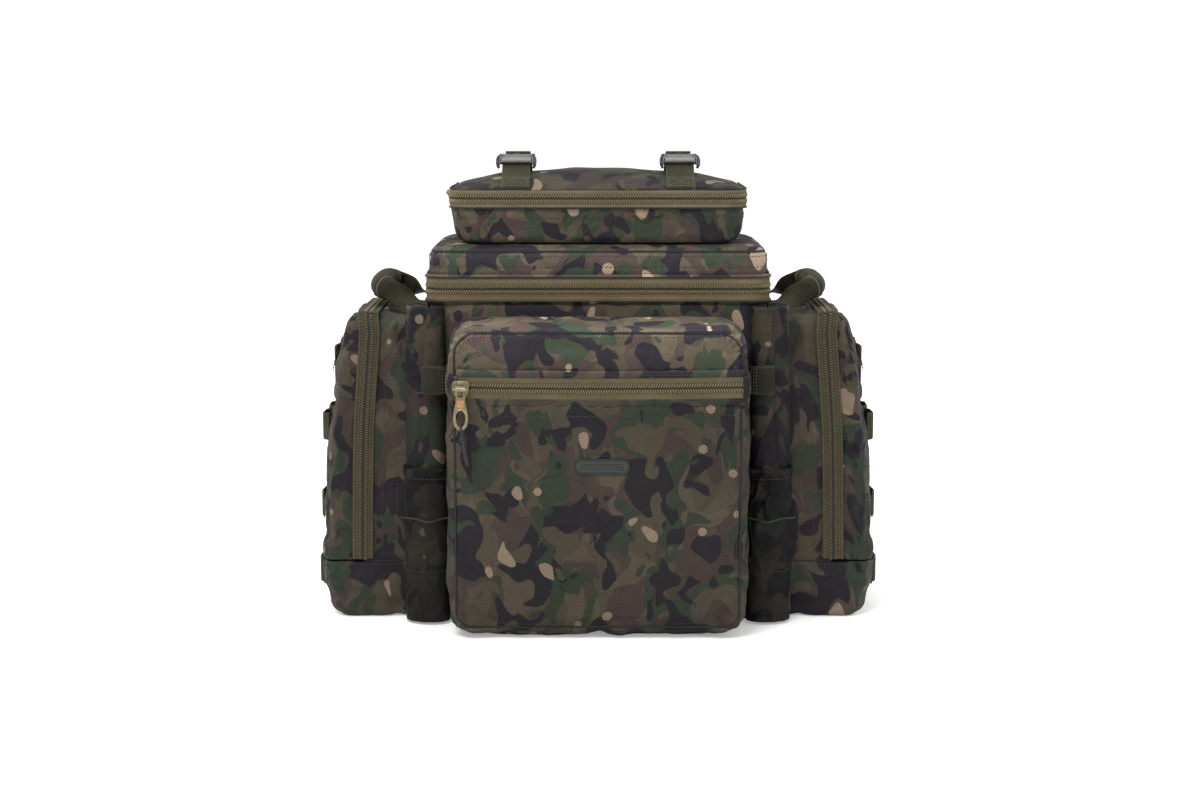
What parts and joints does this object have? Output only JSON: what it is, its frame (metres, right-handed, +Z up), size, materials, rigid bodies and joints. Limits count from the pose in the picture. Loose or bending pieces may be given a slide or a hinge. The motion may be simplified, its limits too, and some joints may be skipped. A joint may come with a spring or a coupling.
{
  "type": "tackle backpack",
  "caption": "Camouflage fishing backpack with hinged two-tier lid, front pocket, drop-down side pockets, pole sleeves, handles, lid buckles and shoulder straps.",
  "frame": {"origin": "on the ground, under the middle of the pack's footprint in X and of the base face in Y", "axes": "+Z up, +X to the right when facing the front, -Y out of the front"},
  "size_m": [0.6012, 0.3497, 0.4865],
  "materials": {
    "camo": "coarse printed nylon weave",
    "camo_dark": "printed weave in shade",
    "olive_webbing": "ribbed nylon webbing",
    "zip_tape": "woven zip tape",
    "buckle_plastic": "moulded, slight sheen",
    "zip_metal": "painted die casting, worn",
    "back_mesh": "open spacer mesh",
    "base_fabric": "coated, matt",
    "frame_plastic": "matt sheet",
    "badge_rubber": "moulded rubber"
  },
  "bodies": {
    "pack": {"main_compartment": "camo", "base_panel": "base_fabric", "back_pad": "back_mesh", "frame_sheet": "frame_plastic", "front_pocket": "camo", "front_zip_tape": "zip_tape", "badge": "badge_rubber", "main_zip_lower_tape": "zip_tape", "left_pocket": "camo", "left_pocket_zip_tape": "zip_tape", "left_pole_sleeve": "camo_dark", "left_pole_pocket": "camo", "left_pole_loop": "olive_webbing", "left_base_webbing": "olive_webbing", "left_adjusting_web": "olive_webbing", "right_pocket": "camo", "right_pocket_zip_tape": "zip_tape", "right_pole_sleeve": "camo_dark", "right_pole_pocket": "camo", "right_pole_loop": "olive_webbing", "right_base_webbing": "olive_webbing", "right_adjusting_web": "olive_webbing"},
    "lid": {"main_lid": "camo", "main_zip_upper_tape": "zip_tape", "lid_pocket": "camo", "lid_zip_lower_tape": "zip_tape"},
    "cover": {"lid_cover": "camo", "lid_zip_upper_tape": "zip_tape", "left_lid_strap_front": "olive_webbing", "left_lid_strap_rear": "olive_webbing", "left_buckle_female": "buckle_plastic", "right_lid_strap_front": "olive_webbing", "right_lid_strap_rear": "olive_webbing", "right_buckle_female": "buckle_plastic"},
    "haul": {"haul_handle": "olive_webbing"},
    "front_slider": {"front_zip_slider": "zip_metal"},
    "front_pull": {"front_zip_pull": "zip_metal", "front_pull_cord": "buckle_plastic"},
    "lid_slider": {"lid_zip_slider": "zip_metal"},
    "lid_pull": {"lid_zip_pull": "zip_metal"},
    "left_male": {"left_buckle_male": "buckle_plastic"},
    "left_door": {"left_pocket_door": "camo", "left_door_webbing": "olive_webbing"},
    "left_handle": {"left_side_handle": "olive_webbing"},
    "left_strap": {"left_shoulder_strap": "back_mesh", "left_ladder_lock": "buckle_plastic"},
    "left_main_slider": {"left_main_zip_slider": "zip_metal"},
    "left_main_pull": {"left_main_zip_pull": "zip_metal"},
    "left_door_slider": {"left_pocket_zip_slider": "zip_metal"},
    "left_door_pull": {"left_pocket_zip_pull": "zip_metal"},
    "right_male": {"right_buckle_male": "buckle_plastic"},
    "right_door": {"right_pocket_door": "camo", "right_door_webbing": "olive_webbing"},
    "right_handle": {"right_side_handle": "olive_webbing"},
    "right_strap": {"right_shoulder_strap": "back_mesh", "right_ladder_lock": "buckle_plastic"},
    "right_main_slider": {"right_main_zip_slider": "zip_metal"},
    "right_main_pull": {"right_main_zip_pull": "zip_metal"},
    "right_door_slider": {"right_pocket_zip_slider": "zip_metal"},
    "right_door_pull": {"right_pocket_zip_pull": "zip_metal"}
  },
  "joints": [
    {"name": "lid_hinge", "type": "hinge", "parent": "pack", "child": "lid", "pos_m": [0, 0.096, 0.3485], "axis": [-1, 0, 0], "range_deg": [0, 95]},
    {"name": "cover_hinge", "type": "hinge", "parent": "lid", "child": "cover", "pos_m": [0, 0.085, 0.4403], "axis": [-1, 0, 0], "range_deg": [0, 80]},
    {"name": "haul_hinge", "type": "hinge", "parent": "pack", "child": "haul", "pos_m": [0, 0.0998, 0.326], "axis": [-1, 0, 0], "range_deg": [-75, 20]},
    {"name": "front_zip", "type": "slide", "parent": "pack", "child": "front_slider", "axis": [1, 0, 0], "range_m": [0, 0.272]},
    {"name": "front_pull_swing", "type": "hinge", "parent": "front_slider", "child": "front_pull", "pos_m": [-0.136, -0.1882, 0.2575], "axis": [-1, 0, 0], "range_deg": [0, 110]},
    {"name": "lid_zip", "type": "slide", "parent": "lid", "child": "lid_slider", "axis": [0, -1, 0], "range_m": [0, 0.1]},
    {"name": "lid_pull_swing", "type": "hinge", "parent": "lid_slider", "child": "lid_pull", "pos_m": [-0.1625, 0.044, 0.4404], "axis": [0, 1, 0], "range_deg": [0, 90]},
    {"name": "left_buckle_release", "type": "slide", "parent": "cover", "child": "left_male", "axis": [0, 1, 0], "range_m": [0, 0.025]},
    {"name": "left_door_hinge", "type": "hinge", "parent": "pack", "child": "left_door", "pos_m": [-0.291, 0, 0.06], "axis": [0, -1, 0], "range_deg": [0, 95]},
    {"name": "left_handle_hinge", "type": "hinge", "parent": "pack", "child": "left_handle", "pos_m": [-0.1772, 0, 0.334], "axis": [0, 1, 0], "range_deg": [-8, 38]},
    {"name": "left_strap_swing", "type": "hinge", "parent": "pack", "child": "left_strap", "pos_m": [-0.076, 0.1195, 0.322], "axis": [1, 0, 0], "range_deg": [0, 25]},
    {"name": "left_main_zip", "type": "slide", "parent": "pack", "child": "left_main_slider", "axis": [0, -1, 0], "range_m": [0, 0.136]},
    {"name": "left_main_pull_swing", "type": "hinge", "parent": "left_main_slider", "child": "left_main_pull", "pos_m": [-0.1864, 0.066, 0.3485], "axis": [0, 0, 1], "range_deg": [0, 80]},
    {"name": "left_door_zip", "type": "slide", "parent": "pack", "child": "left_door_slider", "axis": [0, 0, 1], "range_m": [0, 0.205]},
    {"name": "left_door_pull_swing", "type": "hinge", "parent": "left_door_slider", "child": "left_door_pull", "pos_m": [-0.247, 0.0798, 0.086], "axis": [1, 0, 0], "range_deg": [0, 90]},
    {"name": "right_buckle_release", "type": "slide", "parent": "cover", "child": "right_male", "axis": [0, 1, 0], "range_m": [0, 0.025]},
    {"name": "right_door_hinge", "type": "hinge", "parent": "pack", "child": "right_door", "pos_m": [0.291, 0, 0.06], "axis": [0, 1, 0], "range_deg": [0, 95]},
    {"name": "right_handle_hinge", "type": "hinge", "parent": "pack", "child": "right_handle", "pos_m": [0.1772, 0, 0.334], "axis": [0, -1, 0], "range_deg": [-8, 38]},
    {"name": "right_strap_swing", "type": "hinge", "parent": "pack", "child": "right_strap", "pos_m": [0.076, 0.1195, 0.322], "axis": [1, 0, 0], "range_deg": [0, 25]},
    {"name": "right_main_zip", "type": "slide", "parent": "pack", "child": "right_main_slider", "axis": [0, -1, 0], "range_m": [0, 0.136]},
    {"name": "right_main_pull_swing", "type": "hinge", "parent": "right_main_slider", "child": "right_main_pull", "pos_m": [0.1864, 0.066, 0.3485], "axis": [0, 0, -1], "range_deg": [0, 80]},
    {"name": "right_door_zip", "type": "slide", "parent": "pack", "child": "right_door_slider", "axis": [0, 0, 1], "range_m": [0, 0.205]},
    {"name": "right_door_pull_swing", "type": "hinge", "parent": "right_door_slider", "child": "right_door_pull", "pos_m": [0.247, 0.0798, 0.086], "axis": [1, 0, 0], "range_deg": [0, 90]}
  ]
}
